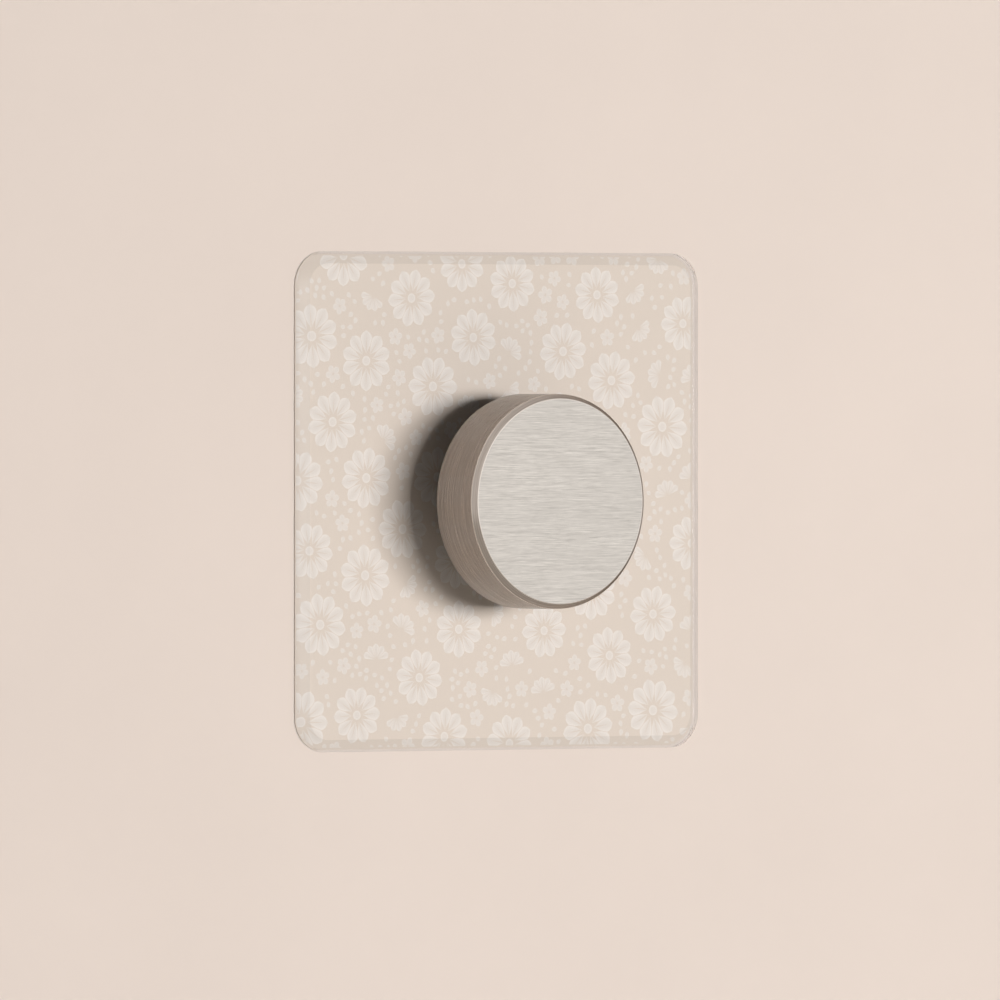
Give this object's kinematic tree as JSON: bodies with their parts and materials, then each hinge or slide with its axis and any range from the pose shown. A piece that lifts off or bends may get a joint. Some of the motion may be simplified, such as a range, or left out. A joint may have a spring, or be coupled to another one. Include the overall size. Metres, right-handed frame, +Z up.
{
  "type": "rotary dimmer switch",
  "caption": "Wall-mounted rotary dimmer with a clear square plate over wall paper, a brushed steel push-and-turn knob and the dimmer module behind.",
  "frame": {"origin": "on the spindle's axis, in the plane of the wall's surface", "axes": "+Z up, -Y out of the wall towards the room, +Y into the wall along the spindle, +X to the right seen from the room"},
  "size_m": [0.086, 0.0493, 0.086],
  "materials": {
    "clear_acrylic": "clear polished acrylic",
    "wall_paper": "matt printed paper",
    "brushed_knob": "brushed stainless steel, satin",
    "black_moulding": "moulded nylon, fine texture",
    "grey_moulding": "moulded, fine texture",
    "white_moulding": "moulded nylon, satin",
    "spring_steel": "bright spring steel",
    "zinc_steel": "zinc plated steel sheet",
    "screw_steel": "bright zinc plated",
    "brass_bush": "nickel plated brass",
    "brass": "machined brass",
    "sink_aluminium": "rolled aluminium sheet",
    "board_laminate": "epoxy glass laminate with green resist",
    "wafer_laminate": "brown paper laminate",
    "carbon_film": "carbon film",
    "spring_bronze": "phosphor bronze sheet",
    "tinned_wire": "tinned copper",
    "black_epoxy": "moulded epoxy",
    "silicone_pad": "grey silicone film",
    "film_box": "yellow moulded box",
    "ferrite": "coated iron powder core",
    "enamelled_wire": "enamelled copper wire",
    "can_sleeve": "dark blue sleeve over an aluminium can",
    "resistor_body": "pale blue lacquer",
    "absorber_disc": "blue dipped coating"
  },
  "bodies": {
    "root": {"front_plate": "clear_acrylic", "paper_sheet": "wall_paper", "plate_washer": "white_moulding", "plate_nut": "brass_bush", "mounting_frame": "zinc_steel", "box_screws": "screw_steel", "module_screws": "screw_steel", "earth_terminal": "brass", "earth_screw": "screw_steel", "heat_sink": "sink_aluminium", "module_cover": "grey_moulding", "cover_screws": "screw_steel", "circuit_board": "board_laminate", "pot_bush": "brass_bush", "pot_case": "black_moulding", "pot_rivets": "brass", "carbon_track": "carbon_film", "track_wafer": "wafer_laminate", "pot_legs": "tinned_wire", "switch_case": "black_moulding", "switch_base": "wafer_laminate", "fixed_contacts": "tinned_wire", "return_spring": "spring_steel", "thermal_sheet": "silicone_pad", "transistor_tab": "tinned_wire", "transistor_body": "black_epoxy", "transistor_leads": "tinned_wire", "transistor_screw": "screw_steel", "film_capacitor": "film_box", "film_capacitor_pins": "tinned_wire", "choke_core": "ferrite", "choke_winding": "enamelled_wire", "choke_tails": "enamelled_wire", "electrolytic_capacitor": "can_sleeve", "electrolytic_pins": "tinned_wire", "resistors": "resistor_body", "resistor_leads": "tinned_wire", "fuse_link": "black_epoxy", "surge_absorber": "absorber_disc", "absorber_pins": "tinned_wire", "rectifier": "black_epoxy", "control_chip": "black_epoxy", "chip_legs": "tinned_wire", "terminal_block": "white_moulding", "terminal_bodies": "brass", "terminal_screws": "screw_steel"},
    "rotor": {"wiper_rotor": "white_moulding", "wiper_brush": "spring_bronze"},
    "knob": {"knob_shell": "brushed_knob", "knob_insert": "black_moulding", "knob_clip": "spring_steel", "spindle": "brass_bush"},
    "plunger": {"plunger": "white_moulding", "contact_bridge": "spring_bronze"}
  },
  "joints": [
    {"name": "knob_turn", "type": "hinge", "parent": "root", "child": "rotor", "pos_m": [0, 0, 0], "axis": [0, 1, 0], "range_deg": [-135, 135]},
    {"name": "knob_push", "type": "slide", "parent": "rotor", "child": "knob", "axis": [0, 1, 0], "range_m": [0, 0.0015], "stiffness_N_per_m": 900, "springref_m": -0.002, "deforming": ["return_spring"]},
    {"name": "plunger_push", "type": "slide", "parent": "root", "child": "plunger", "axis": [0, 1, 0], "range_m": [0, 0.0015], "deforming": ["return_spring"]}
  ],
  "couplings": [
    {"joint": "plunger_push", "follows": "knob_push", "ratio": 1}
  ]
}
